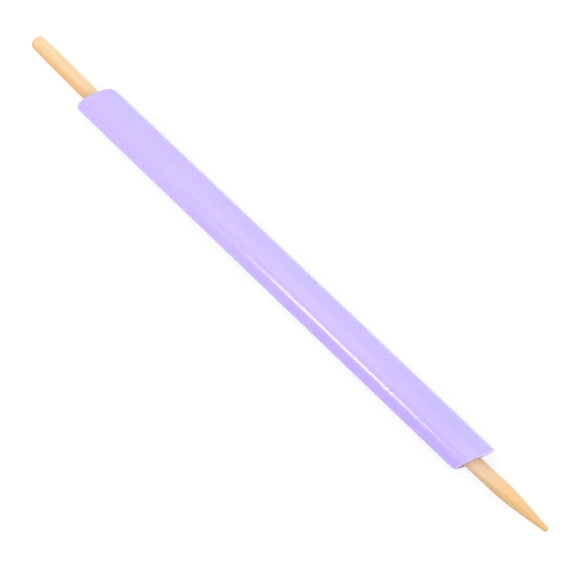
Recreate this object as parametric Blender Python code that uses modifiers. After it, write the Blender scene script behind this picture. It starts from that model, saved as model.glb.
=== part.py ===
# Loop turner: a plastic turning tube and the wooden rod that pushes the fabric through it.
# Metres, +Z up. X runs along the tube towards the rod's point, and Z = 0 is the face the tube rests on.
from math import asin, cos, pi, radians, sin, tan

import bmesh
import bpy

# The turning tube
TUBE_LENGTH = 0.2052  # along any one line of its wall
TUBE_WIDTH = 0.0158
TUBE_HEIGHT = 0.0141  # between the two narrow flats
TUBE_WALL = 0.0011
FLAT_WIDTH = 0.0032  # of the flat that runs along the top and the underside
END_SLANT = radians(20.3)  # both mouths are cut at this angle, parallel to each other
TUBE_SHIFT = 0.0002  # of the tube's middle along X, away from the rod's middle
RIM_ROUND_SHARE = 0.45  # of the wall, rounded off each edge of the mouths
OVAL_STEPS = 28  # round each side of the tube, from flat to flat
RIM_STEPS = 4

# The push rod
ROD_LENGTH = 0.2788
ROD_DIAMETER = 0.00635
ROD_GAP = 0.0003  # between the rod and the floor of the bore that it lies on
ROD_SIDE_SHIFT = -0.00045  # of the rod's middle, away from the tube's axis
ROD_SKEW = radians(-0.2)  # of the loose rod in the wide bore, seen from above
ROD_BOW = 0.0012  # how far the middle stands off the line between the ends
TIP_RADIUS = 0.0011
POINT_HALF_ANGLE = radians(6.15)
SHOULDER_RADIUS = 0.100  # the long curve that runs the shaft into the point
BUTT_RADIUS = 0.0016  # rounding round the blunt end
EASE_DEPTH = 0.00013  # taken off the radius by the sanding behind the blunt end
EASE_LENGTH = 0.010
SHAFT_STEP = 0.020  # between the rings of the shaft, so that it can bow
ROD_SIDES = 32
ARC_STEPS = 6
WELD = 0.00001  # points of the turned rod closer than this are one point

# Colours as linear red, green and blue
LAVENDER = (0.65, 0.54, 0.98, 1.0)
PALE_WOOD = (0.87, 0.63, 0.36, 1.0)
PLASTIC_ROUGHNESS = 0.28
WOOD_ROUGHNESS = 0.62
SHARP_ANGLE = radians(40)


def clear_scene():
    for old in list(bpy.data.objects):
        bpy.data.objects.remove(old, do_unlink=True)


def make_material(name, colour, roughness):
    material = bpy.data.materials.new(name)
    material.use_nodes = True
    shader = material.node_tree.nodes["Principled BSDF"]
    shader.inputs["Base Color"].default_value = colour
    shader.inputs["Roughness"].default_value = roughness
    shader.inputs["Metallic"].default_value = 0.0
    material.diffuse_color = colour
    return material


def make_object(name, mesh, collection, material):
    made = bpy.data.objects.new(name, mesh)
    made.data.materials.append(material)
    collection.objects.link(made)
    return made


def shade(mesh):
    mesh.shade_smooth()
    mesh.set_sharp_from_angle(angle=SHARP_ANGLE)


def tube_section():
    """The tube's outline seen along its axis, as (across, up): two oval sides with a flat between them."""
    flat_edge = asin(FLAT_WIDTH / TUBE_WIDTH)
    # the oval would be this high if the flats didn't cut it
    oval_half_height = TUBE_HEIGHT / 2 / cos(flat_edge)
    turns = [flat_edge + (pi - 2 * flat_edge) * step / OVAL_STEPS for step in range(OVAL_STEPS + 1)]
    side = [(TUBE_WIDTH / 2 * sin(turn), oval_half_height * cos(turn)) for turn in turns]
    return side + [(-across, -up) for across, up in side]


def tube_surface():
    """The tube's outer surface: its section drawn out between two mouths cut on the slant."""
    shell = bmesh.new()
    back = -TUBE_LENGTH / 2
    ring = [shell.verts.new((back + across * tan(END_SLANT), across, up)) for across, up in tube_section()]
    mouth = [shell.edges.new((ring[i - 1], ring[i])) for i in range(len(ring))]
    drawn = bmesh.ops.extrude_edge_only(shell, edges=mouth)
    front = [item for item in drawn["geom"] if isinstance(item, bmesh.types.BMVert)]
    bmesh.ops.translate(shell, verts=front, vec=(TUBE_LENGTH, 0, 0))
    bmesh.ops.recalc_face_normals(shell, faces=shell.faces)
    mesh = bpy.data.meshes.new("turning_tube")
    shell.to_mesh(mesh)
    shell.free()
    return mesh


def make_tube(collection):
    lavender = make_material("lavender_plastic", LAVENDER, PLASTIC_ROUGHNESS)
    tube = make_object("turning_tube", tube_surface(), collection, lavender)
    tube.location = (TUBE_SHIFT, 0, TUBE_HEIGHT / 2)
    wall = tube.modifiers.new("wall", "SOLIDIFY")
    wall.thickness = TUBE_WALL
    wall.offset = -1
    wall.use_even_offset = True
    rim = tube.modifiers.new("rounded_mouths", "BEVEL")
    rim.limit_method = "ANGLE"
    rim.angle_limit = SHARP_ANGLE
    rim.width = TUBE_WALL * RIM_ROUND_SHARE
    rim.segments = RIM_STEPS
    shade(tube.data)
    return tube


def arc(centre, radius, start, end):
    """Points on an arc of the rod's outline, as (distance along the rod, distance from its axis)."""
    turns = [start + (end - start) * step / ARC_STEPS for step in range(ARC_STEPS + 1)]
    return [(centre[0] + radius * cos(turn), centre[1] + radius * sin(turn)) for turn in turns]


def rod_outline():
    """The rod's outline from its point back to its blunt end, with the middle of its length at zero."""
    radius = ROD_DIAMETER / 2
    slope = POINT_HALF_ANGLE
    front = ROD_LENGTH / 2
    back = -front
    tip = arc((front - TIP_RADIUS, 0), TIP_RADIUS, 0, pi / 2 - slope)
    # the straight side of the point meets the shaft's surface this far behind the tip's arc
    side_run = (radius - tip[-1][1]) / tan(slope)
    blend = SHOULDER_RADIUS * tan(slope / 2)
    shoulder_back = tip[-1][0] - side_run - blend
    shoulder = arc((shoulder_back, radius - SHOULDER_RADIUS), SHOULDER_RADIUS, pi / 2 - slope, pi / 2)
    eased_front = back + BUTT_RADIUS + EASE_LENGTH
    rings = round((shoulder_back - eased_front) / SHAFT_STEP)
    pitch = (shoulder_back - eased_front) / rings
    shaft = [(shoulder_back - pitch * ring, radius) for ring in range(1, rings + 1)]
    butt = arc((back + BUTT_RADIUS, radius - EASE_DEPTH - BUTT_RADIUS), BUTT_RADIUS, pi / 2, pi)
    return tip + shoulder + shaft + butt + [(back, 0)]


def make_rod(collection, bore_floor):
    wood = make_material("pale_wood", PALE_WOOD, WOOD_ROUGHNESS)
    outline = [(along, 0, out) for along, out in rod_outline()]
    profile = bpy.data.meshes.new("push_rod_outline")
    profile.from_pydata(outline, [(i, i + 1) for i in range(len(outline) - 1)], [])
    turning = make_object("push_rod_turning", profile, collection, wood)
    lathe = turning.modifiers.new("lathe", "SCREW")
    lathe.axis = "X"
    lathe.steps = ROD_SIDES
    lathe.render_steps = ROD_SIDES
    lathe.use_merge_vertices = True
    lathe.merge_threshold = WELD
    lathe.use_normal_calculate = True
    mesh = bpy.data.meshes.new_from_object(turning.evaluated_get(bpy.context.evaluated_depsgraph_get()))
    mesh.name = "push_rod"
    bpy.data.objects.remove(turning, do_unlink=True)
    # wood is never quite straight: the rod bows sideways as it lies
    for vert in mesh.vertices:
        vert.co.y += ROD_BOW * ((vert.co.x / (ROD_LENGTH / 2)) ** 2 - 1 / 2)
    shade(mesh)
    rod = bpy.data.objects.new("push_rod", mesh)
    collection.objects.link(rod)
    rod.location = (0, ROD_SIDE_SHIFT, bore_floor + ROD_GAP + ROD_DIAMETER / 2)
    rod.rotation_euler = (0, 0, ROD_SKEW)
    return rod


clear_scene()
turner = bpy.data.collections.new("loop_turner")
bpy.context.scene.collection.children.link(turner)
make_tube(turner)
make_rod(turner, TUBE_WALL)
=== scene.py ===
# Loop turner on a pale table: a glossy lavender tube with slanted mouths and the wooden rod that lies in it.
# Metres. X runs along the tube towards the rod's point, Z is up, and the tube rests on Z = 0.
from math import asin, cos, pi, radians, sin, sqrt, tan

import bmesh
import bpy
from mathutils import Matrix, Vector, noise


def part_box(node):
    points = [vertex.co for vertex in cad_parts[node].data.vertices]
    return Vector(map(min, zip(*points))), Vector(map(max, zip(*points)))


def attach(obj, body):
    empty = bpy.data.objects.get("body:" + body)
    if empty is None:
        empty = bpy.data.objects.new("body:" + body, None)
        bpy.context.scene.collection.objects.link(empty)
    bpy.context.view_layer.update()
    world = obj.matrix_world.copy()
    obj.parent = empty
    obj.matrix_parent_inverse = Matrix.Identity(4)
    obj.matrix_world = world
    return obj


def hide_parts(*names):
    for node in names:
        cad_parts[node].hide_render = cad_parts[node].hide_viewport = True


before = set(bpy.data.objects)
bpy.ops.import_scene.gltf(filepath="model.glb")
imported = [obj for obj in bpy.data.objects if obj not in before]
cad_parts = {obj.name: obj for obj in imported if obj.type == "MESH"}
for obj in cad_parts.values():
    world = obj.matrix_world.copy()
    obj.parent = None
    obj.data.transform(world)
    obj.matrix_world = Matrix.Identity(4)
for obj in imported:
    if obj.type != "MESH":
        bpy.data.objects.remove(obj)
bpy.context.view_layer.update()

millimetre = 0.001


# Shader maths: a Wire is one output socket, and sums and products of wires add the Math nodes.
class Wire:
    def __init__(self, finish, socket):
        self.finish = finish
        self.socket = socket

    def __add__(self, other):
        return self.finish.maths("ADD", self, other)

    def __sub__(self, other):
        return self.finish.maths("SUBTRACT", self, other)

    def __rsub__(self, other):
        return self.finish.maths("SUBTRACT", other, self)

    def __mul__(self, other):
        return self.finish.maths("MULTIPLY", self, other)

    def __truediv__(self, other):
        return self.finish.maths("DIVIDE", self, other)

    def __rtruediv__(self, other):
        return self.finish.maths("DIVIDE", other, self)

    def __pow__(self, power):
        return self.finish.maths("POWER", self, power)

    def __rpow__(self, base):
        return self.finish.maths("POWER", base, self)

    __radd__ = __add__
    __rmul__ = __mul__


# Adds nodes to one material or to the world.
class Finish:
    def __init__(self, tree):
        self.tree = tree

    # any node: its type, its settings first, then the values or wires of its sockets
    def node(self, kind, settings=None, sockets=None, output=None):
        made = self.tree.nodes.new(kind)
        for name, value in (settings or {}).items():
            setattr(made, name, value)
        self.feed(made, sockets or {})
        return Wire(self, self.pick(made.outputs, output)) if made.outputs else made

    def feed(self, made, sockets):
        for key, value in sockets.items():
            socket = self.pick(made.inputs, key)
            if isinstance(value, Wire):
                self.tree.links.new(value.socket, socket)
            else:
                socket.default_value = value

    # a socket by its number, or the first one in use of that name
    def pick(self, sockets, key):
        if isinstance(key, int):
            return sockets[key]
        return next(socket for socket in sockets if socket.enabled and key in (None, socket.name))

    def maths(self, operation, *values):
        return self.node("ShaderNodeMath", {"operation": operation}, dict(enumerate(values)))

    # the three coordinates of a place or a direction
    def axes(self, place):
        return [self.node("ShaderNodeSeparateXYZ", None, {"Vector": place}, axis) for axis in "XYZ"]

    # soft noise, with so many clouds a metre along x, y and z
    def clouds(self, place, perMetre, detail=3, rough=0.5, warp=0):
        scaled = self.node("ShaderNodeVectorMath", {"operation": "MULTIPLY"}, {0: place, 1: perMetre})
        sizes = {"Vector": scaled, "Scale": 1, "Detail": detail, "Roughness": rough, "Distortion": warp}
        return self.node("ShaderNodeTexNoise", None, sizes)

    # 0 up to low, 1 from high on, with a soft run between
    def between(self, value, low, high):
        limits = {"Value": value, "From Min": low, "From Max": high}
        return self.node("ShaderNodeMapRange", {"interpolation_type": "SMOOTHSTEP"}, limits)

    def blend(self, share, first, second):
        return self.node("ShaderNodeMix", {"data_type": "RGBA"}, {"Factor": share, "A": first, "B": second})


def newFinish(name):
    material = bpy.data.materials.new(name)
    material.use_nodes = True
    return material, Finish(material.node_tree), material.node_tree.nodes["Principled BSDF"]


def colour(red, green, blue):
    return (red, green, blue, 1)


def grey(level):
    return (level, level, level, 1)


def newPiece(name, points, faces, material, body, node):
    mesh = bpy.data.meshes.new(name)
    mesh.from_pydata(points, [], faces)
    mesh.materials.append(material)
    mesh.shade_smooth()
    piece = bpy.data.objects.new(name, mesh)
    bpy.context.scene.collection.objects.link(piece)
    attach(piece, body)
    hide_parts(node)
    return piece


# faces of a grid of rings: each ring is a closed row of points, and the last ring may meet the first
def ringFaces(rings, around, closed):
    faces = []
    for ring in range(rings if closed else rings - 1):
        here = ring * around
        there = (ring + 1) % rings * around
        for step in range(around):
            turn = (step + 1) % around
            faces.append((here + step, here + turn, there + turn, there + step))
    return faces


# 0 up to low, 1 from high on, with a soft run between
def eased(value, low, high):
    share = max(0, min(1, (value - low) / (high - low)))
    return share * share * (3 - 2 * share)


# Shares along the tube run from -0.5 at the mouth by the rod's blunt end to 0.5 at the mouth by its point,
# and shares across it from -0.5 to 0.5. A pattern's two shares are its levels at which the effect begins
# and is full.
tube = {
    "wall": 0.0011,
    "flatWidth": 0.0032,  # of the narrow flats along the top and the underside
    "flatEase": 0.00006,  # softness of the flats' edges
    "endSlant": radians(20.3),  # of both mouths
    "lipRoundShare": 0.48,  # of the wall, rounded off each edge of the mouths
    "draftWave": 0.000004,  # how unevenly the wall was drawn
    "waveAlong": 26,  # waves a metre
    "waveAcross": 90,
    # the cut at the point's mouth isn't quite square
    "lipLean": 0.00038,  # its +Y side leans out at the top by this much
    "lipTrim": 0.0007,  # and is cut back by this much at the underside
    "leanShare": 0.2,  # across the tube, where the lean is full
    "lipCorner": 0.00034,  # the rim stands out further at its +Y corner
    "cornerShares": (0.12, 0.38),  # across the tube, over which it comes to stand out
    "lipProud": 0.00013,  # the whole rim, past the plane of the cut
    "driftShare": 0.42,  # along the tube, where all this begins
    # the corners of both rims are worn round
    "cornerRound": 0.0018,  # over this width
    "backPull": 0.00055,  # by this much of the length at the blunt end's mouth
    "frontPull": 0.0009,  # and this much at the point's mouth
    "pullShare": 0.46,  # along the tube either way, where it begins
    "around": 128,
    "along": 150,
    "lipSteps": 6,
    "lavender": colour(0.538, 0.46, 1.0),
    "deepLavender": colour(0.485, 0.412, 1.0),  # where the pigment lies thicker
    "pigmentClouds": {"perMetre": (22, 160, 160), "detail": 4, "warp": 0.4},
    "drawnStreaks": {"perMetre": (5, 1500, 1500), "detail": 2},  # from the drawing of the wall
    "drawnShare": 0.2,  # how much of the uneven pigment lies in streaks
    "pigmentShares": (0.3, 0.9),
    "pigmentShare": 0.25,  # how much the uneven pigment deepens the colour
    "deepPlaces": (0.02, 0.10),  # x, between which the colour deepens towards the point
    "deepShare": 0.4,
    "deepFade": 0.018,  # from a mouth, where that has faded out
    "sidePinkReflection": colour(0.582, 0.467, 1.0),  # painted reflection: the -Y side pinker near the blunt end
    "sideVioletShade": colour(0.515, 0.388, 1.0),  # painted shade: the -Y side deeper violet from the middle on
    "sideShadePlaces": (-0.07, 0.04),  # x, between which one passes into the other
    "sideShares": (0.1, 0.85),  # of the half width, over which the side's painted reflection and shade come in
    "sideShare": 0.85,
    "lip": colour(0.66, 0.57, 1.0),  # painted highlight: paler round the edges of the mouths
    "lipReach": 0.0007,
    "lipFullShare": 0.1,  # of that reach, where the lip's colour is full
    "lipHighlightShare": 0.4,
    "bore": colour(0.85, 0.73, 1.0),  # paler, as light comes into it through the wall
    "boreWallShare": 0.6,  # of the wall, at which its colour begins
    "boreEdgeShare": 0.97,  # nearer to 1 makes it begin more sharply
    "gloss": 0.17,  # roughness of clean plastic
    "scuffed": 0.27,  # roughness where it is scratched
    "wear": {"perMetre": (45, 120, 120), "detail": 5, "rough": 0.6},
    "wearShares": (0.5, 0.75),
    "wearRoughness": 0.05,
    "hairlines": {"perMetre": (30, 5200, 5200), "detail": 1},
    "hairlineShares": (0.66, 0.74),
    "crossLines": {"perMetre": (4200, 260, 260), "detail": 1, "warp": 0.6},
    "crossLineShares": (0.72, 0.78),
    "crossLineShare": 0.7,  # how strong they are beside the hairlines
    "drawnRoughness": 0.02,
    "peel": {"perMetre": (420, 700, 700), "detail": 2},
    "peelRelief": 0.3,
    "drawnRelief": 0.2,
    "markRelief": 0.5,
    "reliefStrength": 0.05,  # of the fine bumps in its gloss
    "reliefDepth": 0.00004,
    "refraction": 1.49,
    "scatterShare": 0.4,  # of the light, which enters the plastic and spreads
    "scatterReach": 0.0018,
    "scatterColours": (1, 0.9, 1.1),  # how far red, green and blue spread in it
}


# one point of the tube's section, as (across, up)
def sectionPoint(turn, width, height):
    flatEdge = asin(tube["flatWidth"] / width)
    level = height / 2
    oval = level / cos(flatEdge)
    up = oval * abs(cos(turn))
    soft = (up + level - sqrt((up - level) ** 2 + tube["flatEase"] ** 2)) / 2
    return width / 2 * sin(turn), soft if cos(turn) > 0 else -soft


# the section's points, each with the direction into the wall
def sectionPoints(width, height):
    around = tube["around"]
    spots = [Vector(sectionPoint(2 * pi * step / around, width, height)) for step in range(around)]
    found = []
    for step, spot in enumerate(spots):
        run = spots[(step + 1) % around] - spots[step - 1]
        found.append((spot, Vector((-run.y, run.x)).normalized()))
    return [(spot, inward if inward.dot(spot) < 0 else -inward) for spot, inward in found]


# the wall cut lengthways, as a closed outline: each station is a share along the tube,
# how far it is set back from that end's mouth, and how deep it lies in the wall
def wallStations():
    wall = tube["wall"]
    lip = wall * tube["lipRoundShare"]
    steps = tube["along"]
    arc = [pi / 2 * step / tube["lipSteps"] for step in range(tube["lipSteps"] + 1)]
    runs = [step / steps - 0.5 for step in range(1, steps)]
    frontLip = [(0.5, lip * (1 - sin(turn)), lip * (1 - cos(turn))) for turn in arc]
    frontLip += [(0.5, lip * (1 - cos(turn)), wall - lip * (1 - sin(turn))) for turn in arc]
    outer = [(run, 0, 0) for run in runs]
    inner = [(-run, 0, wall) for run in runs]
    backLip = [(-share, setback, wall - depth) for share, setback, depth in frontLip]
    return outer + frontLip + inner + backLip


# how far the rims wander off the planes of the cuts, fading out along the wall
def mouthDrift(share, spot, size):
    side = spot.x / size.y
    level = spot.y / (size.z / 2)
    lean = tube["lipLean"] if level > 0 else tube["lipTrim"]
    lean = lean * level * eased(side, 0, tube["leanShare"])
    corner = tube["lipCorner"] * eased(side, *tube["cornerShares"])
    fromEdge = min(1, (size.y / 2 - abs(spot.x)) / tube["cornerRound"])
    worn = 1 - sqrt(max(0, 1 - (1 - fromEdge) ** 2))
    pull = tube["backPull"] * eased(-share, tube["pullShare"], 0.5)
    pull -= tube["frontPull"] * eased(share, tube["pullShare"], 0.5)
    return (lean + corner + tube["lipProud"]) * eased(share, tube["driftShare"], 0.5) + worn * pull


# the tube's box as its size and middle, its slope across, and its length along any one line of the wall
def tubeMeasures():
    low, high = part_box("turning_tube")
    size = high - low
    slant = tan(tube["endSlant"])
    return size, (low + high) / 2, slant, size.x - size.y * slant


def makeTube(material):
    size, middle, slant, length = tubeMeasures()
    section = sectionPoints(size.y, size.z)
    stations = wallStations()
    points = []
    for share, setback, depth in stations:
        along = share * length - (setback if share > 0 else -setback)
        for spot, inward in section:
            place = spot + inward * depth
            x = along + place.x * slant + mouthDrift(share, spot, size)
            # a drawn wall is never quite even
            across = place * tube["waveAcross"]
            wave = noise.noise(Vector((x * tube["waveAlong"], across.x, across.y)))
            place = place + inward * (wave + 1) * tube["draftWave"]
            points.append((middle.x + x, middle.y + place.x, middle.z + place.y))
    faces = ringFaces(len(stations), len(section), True)
    faces = [tuple(reversed(face)) for face in faces]
    print("tube:", len(points), "points,", round(length / millimetre, 1), "mm long")
    return newPiece("tube_shell", points, faces, material, "tube", "turning_tube")


def lavenderPlastic():
    size, middle, slant, length = tubeMeasures()
    material, finish, shader = newFinish("glossy lavender plastic")
    place = finish.node("ShaderNodeTexCoord", output="Object")
    x, y, z = finish.axes(place)
    # how far a point is from the nearer mouth, along the tube
    fromMouth = length / 2 - finish.maths("ABSOLUTE", x - middle.x - (y - middle.y) * slant)
    pigment = finish.clouds(place, **tube["pigmentClouds"])
    drawn = finish.clouds(place, **tube["drawnStreaks"])
    uneven = pigment * (1 - tube["drawnShare"]) + drawn * tube["drawnShare"]
    towardsPoint = finish.between(x, *tube["deepPlaces"]) * tube["deepShare"]
    thick = finish.between(uneven, *tube["pigmentShares"]) * tube["pigmentShare"]
    thick = thick + towardsPoint * finish.between(fromMouth, 0, tube["deepFade"])
    base = finish.blend(thick, tube["lavender"], tube["deepLavender"])
    # painted reflection and shade on the -Y side: pinker near the blunt end, deeper violet from the middle
    # on
    paintedSideTint = finish.blend(finish.between(x, *tube["sideShadePlaces"]), tube["sidePinkReflection"], tube["sideVioletShade"])
    onPaintedSide = finish.between(y * -2 / size.y, *tube["sideShares"])
    base = finish.blend(onPaintedSide * tube["sideShare"], base, paintedSideTint)
    # painted highlight along the rims of the mouths
    onLip = 1 - finish.between(fromMouth, tube["lipFullShare"] * tube["lipReach"], tube["lipReach"])
    base = finish.blend(onLip * tube["lipHighlightShare"], base, tube["lip"])
    # the bore is what lies closer to the axis than the middle of the wall
    depth = tube["wall"] * tube["boreWallShare"]
    outY = (y - middle.y) / (size.y / 2 - depth)
    outZ = (z - middle.z) / (size.z / 2 - depth)
    inside = 1 - finish.between(outY * outY + outZ * outZ, tube["boreEdgeShare"], 1)
    base = finish.blend(inside, base, tube["bore"])
    # wear: soft clouds, and in them hairlines along the tube and a few across it
    worn = finish.between(finish.clouds(place, **tube["wear"]), *tube["wearShares"])
    hairlines = finish.between(finish.clouds(place, **tube["hairlines"]), *tube["hairlineShares"])
    crossLines = finish.between(finish.clouds(place, **tube["crossLines"]), *tube["crossLineShares"])
    marks = (hairlines + crossLines * tube["crossLineShare"]) * worn
    rough = tube["gloss"] + worn * tube["wearRoughness"] + marks * (tube["scuffed"] - tube["gloss"])
    rough = rough + drawn * tube["drawnRoughness"]
    peel = finish.clouds(place, **tube["peel"])
    relief = peel * tube["peelRelief"] + drawn * tube["drawnRelief"] - marks * tube["markRelief"]
    heights = {"Height": relief, "Strength": tube["reliefStrength"], "Distance": tube["reliefDepth"]}
    bump = finish.node("ShaderNodeBump", None, heights)
    finish.feed(shader, {"Base Color": base, "Roughness": rough, "Normal": bump, "IOR": tube["refraction"]})
    finish.feed(shader, {
        "Subsurface Weight": tube["scatterShare"],
        "Subsurface Radius": tube["scatterColours"],
        "Subsurface Scale": tube["scatterReach"],
    })
    print("finish: lavender plastic")
    return material


# Reaches are distances back from the tip, and places across the rod run from -1 on its -Y side to 1.
# A pattern's two shares are its levels at which the effect begins and is full.
rod = {
    "bow": 0.0012,  # how far the middle stands off the line between the ends
    "skew": radians(-0.2),  # turned in the wide bore, seen from above
    "sideShift": -0.00045,
    "tipRadius": 0.0011,
    "pointHalfAngle": radians(6.15),
    "shoulderRadius": 0.100,  # the long curve from the shaft into the point
    "buttRadius": 0.0016,
    "easeDepth": 0.00013,  # taken off behind the blunt end by sanding
    "easeLength": 0.010,
    "sandedFlats": 0.000021,  # how deep the sanding flats on the point are
    "flatCount": 7,  # round the point
    "flatTwist": 60,  # radians a metre
    "flatFade": 0.012,  # over which they fade into the shaft
    "flatCore": 0.0012,  # from the axis, inside which they fade into the tip
    "outOfRound": 0.00002,
    "roundCore": 0.002,  # from the axis, inside which it comes round
    "swirlAlong": 45,  # uneven places a metre
    "pointSwell": 0.0001,  # how full the point's sides are
    "swellStart": (0.030, 0.020),  # reaches, between which they fill out
    "swellEnd": (0.012, 0.003),  # and between which they fall in again
    "tipLean": 0.00009,  # the point was sharpened a little off centre, to the +Y side
    "leanReach": (0.030, 0.006),
    "tipBend": 0.00012,  # and its last few millimetres more so
    "bendReach": 0.007,
    "around": 96,
    "shaftStep": 0.0015,
    "arcSteps": 24,
    "coneSteps": 16,
    "easeSteps": 8,
    "faceSteps": 5,
    # growth rings: circles round the heart of the tree, which lay beside and below the rod
    "heartSide": 0.011,
    "heartDown": 0.019,
    "heartRise": 0.006,  # in a metre of the rod
    "heartDrift": 0.0022,
    "driftClouds": {"perMetre": (9, 60, 60), "detail": 2},
    "ringPitch": 0.0016,
    "lateShares": (0.45, 0.95),  # of each ring, over which the late wood darkens before it breaks off
    "fibres": {"perMetre": (26, 2600, 2600), "detail": 4, "rough": 0.65},
    "broadClouds": {"perMetre": (12, 420, 420), "detail": 3},
    "patches": {"perMetre": (75, 560, 560), "detail": 3, "rough": 0.6},
    "mottle": {"perMetre": (420, 900, 900), "detail": 3, "rough": 0.6},
    "pale": colour(0.805, 0.643, 0.415),  # paler wood, and painted light on the +Y side
    "honey": colour(0.762, 0.43, 0.158),  # riper wood, and painted shade on the -Y side
    "broadShare": 0.35,  # how much the clouds, patches and mottle shift one towards the other
    "patchShare": 0.6,
    "mottleShare": 0.5,
    "pointRipeShare": 0.35,  # how much riper the sanded point looks
    "pointReach": (0.036, 0.012),  # where its bare wood begins and is full
    "buttReach": (0.0004, 0.0022),  # from the blunt end, where its end grain is full and ends
    "greyed": colour(0.745, 0.61, 0.41),  # duller wood on the shaft near the point
    "greyedReach": (0.070, 0.034),
    "greyedShare": 0.7,
    "shadeBrown": colour(0.58, 0.38, 0.18),  # painted shade: darker along the -Y side there, and along the point
    "shadePlaces": (0.5, 1.05),  # across towards -Y, on the width that the point has left
    "shadeShare": 0.65,
    "pointLength": 0.034,  # over which the rod narrows
    "thinnestShare": 0.2,  # of the rod's width
    "rimLightPatch": colour(0.96, 0.685, 0.465),  # painted light: paler wood where the rod comes out under the tube's rim, lifting its shade
    "rimLightStart": (0.060, 0.042),
    "rimLightEnd": (0.036, 0.031),
    "rimLightPlaces": (-0.9, 0.6),  # across, between which it gets stronger
    "rimLightLeastShare": 0.15,
    "rimLightMoreShare": 0.75,
    "streak": colour(0.82, 0.44, 0.17),
    "lateShare": 0.35,  # what the rings, fibres and patches each add to the streaks
    "fibreShare": 0.5,
    "patchStreakShare": 0.6,
    "streakLevels": (0.5, 1.25),  # of their sum, at which a streak begins and is full
    "streakShare": 0.45,
    "dashes": {"perMetre": (260, 1900, 1900), "detail": 1},  # pores and rays along the grain
    "dashShares": (0.66, 0.75),
    "fleck": colour(0.70, 0.37, 0.13),
    "fleckShare": 0.3,
    "endGrain": colour(0.86, 0.52, 0.22),
    "pointCutShare": 0.2,
    "buttCutShare": 0.5,
    # painted sheen: the fibres lightened towards white
    "fibreSheenShares": (0.35, 0.7),
    "fibreSheenShare": 0.06,
    "rough": 0.55,  # roughness of the smoothest wood
    "fibreRoughness": 0.12,
    "dashRoughness": 0.1,
    "cutRoughness": 0.08,
    "sanding": {"perMetre": (3000, 300, 300), "detail": 2},
    "fibreRelief": 0.7,
    "dashRelief": 0.8,
    "sandingRelief": 0.5,
    "reliefStrength": 0.35,  # of the fine bumps along the grain
    "reliefDepth": 0.00006,
    "refraction": 1.45,
}


def arcPoints(centre, radius, start, end):
    turns = [start + (end - start) * step / rod["arcSteps"] for step in range(rod["arcSteps"] + 1)]
    return [(centre[0] + radius * cos(turn), centre[1] + radius * sin(turn)) for turn in turns]


# the points between two outline points, in even steps
def runBetween(start, end, steps):
    (along, out), (endAlong, endOut) = start, end
    shares = [step / steps for step in range(1, steps)]
    return [(along + (endAlong - along) * share, out + (endOut - out) * share) for share in shares]


# the rod's outline from the point back to the blunt end, as (along, distance from its axis)
def rodOutline(length, radius):
    slope = rod["pointHalfAngle"]
    front = length / 2
    tip = arcPoints((front - rod["tipRadius"], 0), rod["tipRadius"], 0, pi / 2 - slope)
    sideRun = (radius - tip[-1][1]) / tan(slope)
    shoulderBack = tip[-1][0] - sideRun - rod["shoulderRadius"] * tan(slope / 2)
    centre = (shoulderBack, radius - rod["shoulderRadius"])
    shoulder = arcPoints(centre, rod["shoulderRadius"], pi / 2 - slope, pi / 2)
    cone = runBetween(tip[-1], shoulder[0], rod["coneSteps"])
    centre = (-front + rod["buttRadius"], radius - rod["easeDepth"] - rod["buttRadius"])
    butt = arcPoints(centre, rod["buttRadius"], pi / 2, pi)
    easeStart = (butt[0][0] + rod["easeLength"], radius)
    shaftSteps = round((shoulder[-1][0] - easeStart[0]) / rod["shaftStep"])
    shaft = runBetween(shoulder[-1], easeStart, shaftSteps)
    ease = runBetween(easeStart, butt[0], rod["easeSteps"])
    face = runBetween(butt[-1], (-front, 0), rod["faceSteps"])
    return tip + cone + shoulder + shaft + [easeStart] + ease + butt + face


# how far the point leans to the side, at a place along a rod whose tip is at front
def tipLean(along, front):
    far, near = rod["leanReach"]
    lean = rod["tipLean"] * eased(along, front - far, front - near)
    return lean + rod["tipBend"] * eased(along, front - rod["bendReach"], front)


# how much the point's sides swell out
def pointSwell(along, front):
    far, near = rod["swellStart"]
    swell = rod["pointSwell"] * eased(along, front - far, front - near)
    far, near = rod["swellEnd"]
    return swell * (1 - eased(along, front - far, front - near))


def makeRod(material):
    low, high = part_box("push_rod")
    length = high.x - low.x - 2 * rod["outOfRound"]
    front = length / 2
    radius = (high.z - low.z) / 2
    level = (low.z + high.z) / 2
    outline = rodOutline(length, radius)
    tip = outline[0][0]
    pointStart = tip - rod["shoulderRadius"] * rod["pointHalfAngle"] - radius / tan(rod["pointHalfAngle"])
    points = []
    around = rod["around"]
    for along, out in outline[1:]:
        # sanding leaves faint flats on the point, which fade into the shaft
        sanded = max(0, min(1, (along - pointStart) / rod["flatFade"])) * min(1, out / rod["flatCore"])
        offLine = rod["bow"] * ((along / front) ** 2 - 1 / 2) + tipLean(along, front)
        swell = pointSwell(along, front)
        for step in range(around):
            turn = 2 * pi * step / around
            swirl = noise.noise(Vector((along * rod["swirlAlong"], cos(turn), sin(turn))))
            flat = abs(sin(turn * rod["flatCount"] / 2 + along * rod["flatTwist"])) + swirl
            uneven = rod["outOfRound"] * (1 + swirl) * min(1, out / rod["roundCore"])
            reach = out + swell - rod["sandedFlats"] * sanded * flat - uneven
            points.append((along, offLine + reach * cos(turn), reach * sin(turn)))
    tipPoint = len(points)
    points.append((tip, rod["bow"] / 2 + tipLean(tip, front), 0))
    buttPoint = len(points)
    points.append((outline[-1][0] + rod["outOfRound"], rod["bow"] / 2, 0))
    rings = len(outline) - 1
    faces = ringFaces(rings, around, False)
    last = (rings - 1) * around
    faces += [(tipPoint, (step + 1) % around, step) for step in range(around)]
    faces += [(buttPoint, last + step, last + (step + 1) % around) for step in range(around)]
    turned = Matrix.Translation((0, rod["sideShift"], level)) @ Matrix.Rotation(rod["skew"], 4, "Z")
    points = [turned @ Vector(point) for point in points]
    print("rod:", len(points), "points,", round(length / millimetre, 1), "mm long")
    return newPiece("push_rod_wood", points, faces, material, "rod", "push_rod")


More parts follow.
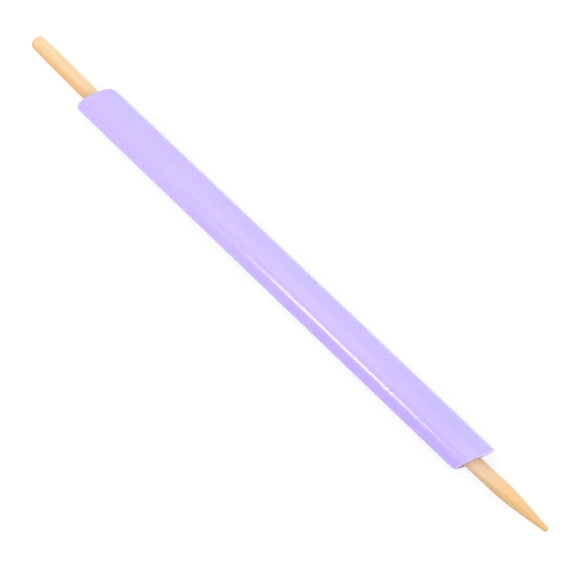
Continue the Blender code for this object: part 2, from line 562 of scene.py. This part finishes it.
def paleWood():
    low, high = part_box("push_rod")
    material, finish, shader = newFinish("sanded pale wood")
    place = finish.node("ShaderNodeTexCoord", output="Object")
    x, y, z = finish.axes(place)

    # 0 further from the tip than the far reach, 1 nearer than the near one
    def towardsTip(far, near):
        return finish.between(x, high.x - far, high.x - near)

    drift = finish.clouds(place, **rod["driftClouds"])
    acrossHeart = y + rod["heartSide"] + drift * rod["heartDrift"]
    upHeart = z + rod["heartDown"] - x * rod["heartRise"]
    ringRadius = (acrossHeart * acrossHeart + upHeart * upHeart) ** 0.5
    ring = finish.maths("FRACT", ringRadius / rod["ringPitch"])
    lateStart, lateEnd = rod["lateShares"]
    lateWood = finish.between(ring, lateStart, lateEnd) * (1 - finish.between(ring, lateEnd, 1))
    fibres = finish.clouds(place, **rod["fibres"])
    broad = finish.clouds(place, **rod["broadClouds"])
    patches = finish.clouds(place, **rod["patches"])
    mottle = finish.clouds(place, **rod["mottle"])
    bowed = (x / (high.x - low.x) * 2) ** 2 * rod["bow"] - rod["bow"] / 2
    acrossRod = (y - rod["sideShift"] - bowed) / ((high.z - low.z) / 2)
    # the same place across, but on the width that the point has left there
    widthLeft = finish.maths("MINIMUM", (high.x - x) / rod["pointLength"], 1)
    acrossHere = acrossRod / finish.maths("MAXIMUM", widthLeft, rod["thinnestShare"])
    # the sanded point and the blunt end cut across the fibres and drink in more colour
    onPoint = towardsTip(*rod["pointReach"])
    buttFull, buttEnd = rod["buttReach"]
    onButt = 1 - finish.between(x, low.x + buttFull, low.x + buttEnd)
    # partly painted light and shade: paler on the +Y side and deeper on the -Y side; the clouds, patches,
    # mottle and the point's ripeness are the wood's own tone
    ripeAndSideShade = 0.5 - acrossRod * 0.5 + (broad - 0.5) * rod["broadShare"] + (patches - 0.5) * rod["patchShare"]
    ripeAndSideShade = ripeAndSideShade + (mottle - 0.5) * rod["mottleShare"] + onPoint * rod["pointRipeShare"]
    base = finish.blend(ripeAndSideShade, rod["pale"], rod["honey"])
    greyed = towardsTip(*rod["greyedReach"])
    base = finish.blend(greyed * (1 - onPoint) * rod["greyedShare"], base, rod["greyed"])
    # painted shade along the rod's -Y side near the point
    rodShadedSide = finish.between(acrossHere * -1, *rod["shadePlaces"]) * greyed
    base = finish.blend(rodShadedSide * rod["shadeShare"], base, rod["shadeBrown"])
    # painted light under the tube's rim, stronger towards the +Y side
    underRim = towardsTip(*rod["rimLightStart"]) * (1 - towardsTip(*rod["rimLightEnd"]))
    bySide = finish.between(acrossRod, *rod["rimLightPlaces"]) * rod["rimLightMoreShare"]
    base = finish.blend(underRim * (bySide + rod["rimLightLeastShare"]), base, rod["rimLightPatch"])
    grain = lateWood * rod["lateShare"] + fibres * rod["fibreShare"] + patches * rod["patchStreakShare"]
    streaks = finish.between(grain, *rod["streakLevels"]) * rod["streakShare"]
    base = finish.blend(streaks, base, rod["streak"])
    dashes = finish.between(finish.clouds(place, **rod["dashes"]), *rod["dashShares"])
    base = finish.blend(dashes * rod["fleckShare"], base, rod["fleck"])
    cut = onPoint * rod["pointCutShare"] + onButt * rod["buttCutShare"]
    base = finish.blend(cut, base, rod["endGrain"])
    # painted sheen along the fibres
    fibreSheen = finish.between(fibres, *rod["fibreSheenShares"]) * rod["fibreSheenShare"]
    base = finish.blend(fibreSheen, base, grey(1))
    rough = rod["rough"] + fibres * rod["fibreRoughness"] + dashes * rod["dashRoughness"]
    rough = rough + cut * rod["cutRoughness"]
    sanding = finish.clouds(place, **rod["sanding"]) * onPoint
    relief = fibres * rod["fibreRelief"] - dashes * rod["dashRelief"] + sanding * rod["sandingRelief"]
    heights = {"Height": relief, "Strength": rod["reliefStrength"], "Distance": rod["reliefDepth"]}
    bump = finish.node("ShaderNodeBump", None, heights)
    finish.feed(shader, {"Base Color": base, "Roughness": rough, "Normal": bump, "IOR": rod["refraction"]})
    print("finish: pale wood")
    return material


# Directions to the room run from -1 to 1 along each axis.
studio = {
    "tableReach": 7.0,
    "tableSides": 96,
    "tableDrop": 0.00005,  # below the tool, so that the two don't touch
    "tableTint": 0.60,  # how much light the table throws back
    "tableLight": 1.0,  # how much light falls on it
    "tableWhite": 1.03,  # how white the lit table looks to the camera
    "tableRoughness": 0.9,
    "plainWhiteShare": 0.46,  # of plain white over it, which keeps the shadow faint
    "ambient": 0.955,  # light from all round
    "dimHorizon": 0.60,  # how much of it is missing near the horizon on the tube's -Y side
    "horizonHeights": (0.02, 0.35),  # up, between which that ends
    "dimSides": (-0.6, 0.3),  # along Y, between which that ends
    "farSide": 0.48,  # how much more light comes from the tube's +Y side
    "pointSide": 0.14,  # how much more of it comes from the rod's point end, and less from the other end
}

# each lamp: its size along its long side and across, its place, the way its long side runs,
# and how bright its face is
lamps = {
    "overhead": {"size": (0.55, 0.56), "place": (-0.13, -0.04, 1.0), "longSide": (1, 0, 0), "glow": 0.8},
    "strip": {"size": (0.148, 0.13), "place": (-0.066, -0.45, 0.405), "longSide": (1, 0, -0.25), "glow": 14},
    "fill": {"size": (0.50, 0.25), "place": (-0.08, -0.45, 0.38), "longSide": (1, 0, 0), "glow": 1.85},
}


# only what looks straight at the backdrop, or mirrors it, sees it white
def seenDirectly(finish):
    rays = ["Is Camera Ray", "Is Glossy Ray", "Is Transmission Ray"]
    camera, glossy, transmitted = [finish.node("ShaderNodeLightPath", output=ray) for ray in rays]
    return finish.maths("MINIMUM", camera + glossy + transmitted, 1)


def makeFloor():
    disc = bmesh.new()
    bmesh.ops.create_circle(disc, cap_ends=True, segments=studio["tableSides"], radius=studio["tableReach"])
    mesh = bpy.data.meshes.new("table")
    disc.to_mesh(mesh)
    disc.free()
    material, finish, shader = newFinish("white table")
    # the lit table and its own glow together come to just about white, so that only shadows show on it
    seen = seenDirectly(finish)
    glow = studio["tableWhite"] - studio["tableTint"] * studio["tableLight"]
    finish.feed(shader, {"Base Color": grey(studio["tableTint"]), "Roughness": studio["tableRoughness"]})
    finish.feed(shader, {"Specular IOR Level": 0, "Emission Strength": glow})
    finish.feed(shader, {"Emission Color": finish.blend(seen, grey(0), grey(1))})
    white = finish.node("ShaderNodeEmission", None, {"Color": grey(1), "Strength": 1})
    lit = Wire(finish, shader.outputs["BSDF"])
    both = finish.node("ShaderNodeMixShader", None, {0: seen * studio["plainWhiteShare"], 1: lit, 2: white})
    finish.feed(material.node_tree.nodes["Material Output"], {"Surface": both})
    mesh.materials.append(material)
    floor = bpy.data.objects.new("table", mesh)
    bpy.context.scene.collection.objects.link(floor)
    floor.location.z = -studio["tableDrop"]
    print("table:", studio["tableReach"], "m all round")


def lightRoom():
    world = bpy.data.worlds.new("pale room")
    bpy.context.scene.world = world
    world.use_nodes = True
    finish = Finish(world.node_tree)
    world.node_tree.nodes.clear()
    direction = finish.node("ShaderNodeTexCoord", output="Generated")
    lengthways, sideways, upwards = finish.axes(direction)
    lowDown = 1 - finish.between(upwards, *studio["horizonHeights"])
    nearSide = 1 - finish.between(sideways, *studio["dimSides"])
    level = studio["ambient"] - lowDown * nearSide * studio["dimHorizon"] + lengthways * studio["pointSide"]
    level = level + finish.between(sideways, 0, 1) * studio["farSide"]
    shown = finish.node("ShaderNodeBackground", None, {"Color": grey(1), "Strength": 1})
    room = finish.node("ShaderNodeBackground", None, {"Color": grey(1), "Strength": level})
    both = finish.node("ShaderNodeMixShader", None, {0: seenDirectly(finish), 1: room, 2: shown})
    finish.node("ShaderNodeOutputWorld", None, {"Surface": both})
    print("room: light", studio["ambient"])


def addLamp(name):
    width, height = lamps[name]["size"]
    lamp = bpy.data.lights.new(name, "AREA")
    lamp.shape = "RECTANGLE"
    lamp.size = width
    lamp.size_y = height
    lamp.energy = lamps[name]["glow"] * pi * width * height
    holder = bpy.data.objects.new(name, lamp)
    bpy.context.scene.collection.objects.link(holder)
    # its face looks at the middle of the tool
    back = Vector(lamps[name]["place"]).normalized()
    across = back.cross(Vector(lamps[name]["longSide"])).normalized()
    holder.matrix_world = Matrix((across.cross(back), across, back)).transposed().to_4x4()
    holder.location = lamps[name]["place"]
    print("lamp:", name)
    return holder


view = {
    "aim": (0.00649, -0.00147, 0.00555),  # the place it looks at
    "azimuth": radians(75.463),  # round from the -Y side towards +X
    "elevation": radians(76.823),  # above the table
    "roll": radians(-31.422),
    "distance": 0.6466,
    "lens": 105.75,  # millimetres, as the sensor
    "sensor": 36,
}


def placeCamera():
    camera = bpy.data.objects.new("camera", bpy.data.cameras.new("camera"))
    bpy.context.scene.collection.objects.link(camera)
    bpy.context.scene.camera = camera
    camera.data.sensor_width = view["sensor"]
    camera.data.lens = view["lens"]
    flat = cos(view["elevation"])
    back = Vector((sin(view["azimuth"]) * flat, -cos(view["azimuth"]) * flat, sin(view["elevation"])))
    turned = back.to_track_quat("Z", "Y").to_matrix() @ Matrix.Rotation(view["roll"], 3, "Z")
    camera.matrix_world = turned.to_4x4()
    camera.location = Vector(view["aim"]) + back * view["distance"]
    print("camera", [round(value, 4) for value in camera.location])


placeCamera()
bpy.context.scene.view_settings.view_transform = "Standard"
makeTube(lavenderPlastic())
makeRod(paleWood())
makeFloor()
lightRoom()
# the strip makes only the long highlight, and the fill makes none
addLamp("overhead")
addLamp("strip").visible_diffuse = False
addLamp("fill").visible_glossy = False
